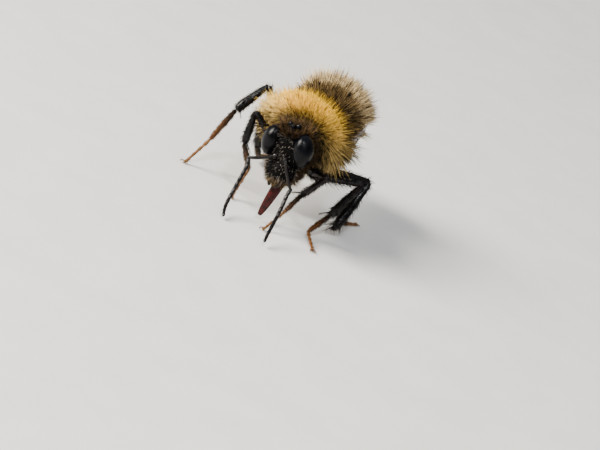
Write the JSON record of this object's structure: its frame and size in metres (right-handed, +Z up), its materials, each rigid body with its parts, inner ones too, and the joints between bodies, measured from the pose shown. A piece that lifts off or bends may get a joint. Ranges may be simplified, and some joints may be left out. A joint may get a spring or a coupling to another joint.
{
  "type": "bumblebee model",
  "caption": "Life-size still model of a furry bumblebee standing on its feet with head lowered, feelers down, tongue out and wings folded along its sides.",
  "frame": {"origin": "on the floor under the middle of the whole bee's box", "axes": "+Z up, the bee faces -Y, its left side is +X"},
  "size_m": [0.0105, 0.0173, 0.008],
  "materials": {
    "coat": "dense soft fur, golden on the thorax, dark brown and grey-buff in bands behind",
    "eye": "glossy black compound eye",
    "shell": "polished black shell with short hair",
    "foot": "satin reddish brown",
    "mouthparts": "glossy dark red-brown",
    "wing": "thin smoky membrane with dark veins"
  },
  "bodies": {
    "root": {"abdomen_1": "coat", "abdomen_2": "coat", "abdomen_3": "coat", "abdomen_4": "coat", "abdomen_5": "coat", "abdomen_6": "coat", "antenna_left_flagellum": "shell", "antenna_left_scape": "shell", "antenna_right_flagellum": "shell", "antenna_right_scape": "shell", "eye_left": "eye", "eye_right": "eye", "forewing_left": "wing", "forewing_right": "wing", "head": "coat", "hindwing_left": "wing", "hindwing_right": "wing", "leg_front_left_basitarsus": "foot", "leg_front_left_coxa": "shell", "leg_front_left_femur": "shell", "leg_front_left_tarsus": "foot", "leg_front_left_tibia": "shell", "leg_front_right_basitarsus": "foot", "leg_front_right_coxa": "shell", "leg_front_right_femur": "shell", "leg_front_right_tarsus": "foot", "leg_front_right_tibia": "shell", "leg_hind_left_basitarsus": "foot", "leg_hind_left_coxa": "shell", "leg_hind_left_femur": "shell", "leg_hind_left_tarsus": "foot", "leg_hind_left_tibia": "shell", "leg_hind_right_basitarsus": "foot", "leg_hind_right_coxa": "shell", "leg_hind_right_femur": "shell", "leg_hind_right_tarsus": "foot", "leg_hind_right_tibia": "shell", "leg_middle_left_basitarsus": "foot", "leg_middle_left_coxa": "shell", "leg_middle_left_femur": "shell", "leg_middle_left_tarsus": "foot", "leg_middle_left_tibia": "shell", "leg_middle_right_basitarsus": "foot", "leg_middle_right_coxa": "shell", "leg_middle_right_femur": "shell", "leg_middle_right_tarsus": "foot", "leg_middle_right_tibia": "shell", "mandible_left": "mouthparts", "mandible_right": "mouthparts", "proboscis": "mouthparts", "thorax": "coat"}
  },
  "joints": []
}
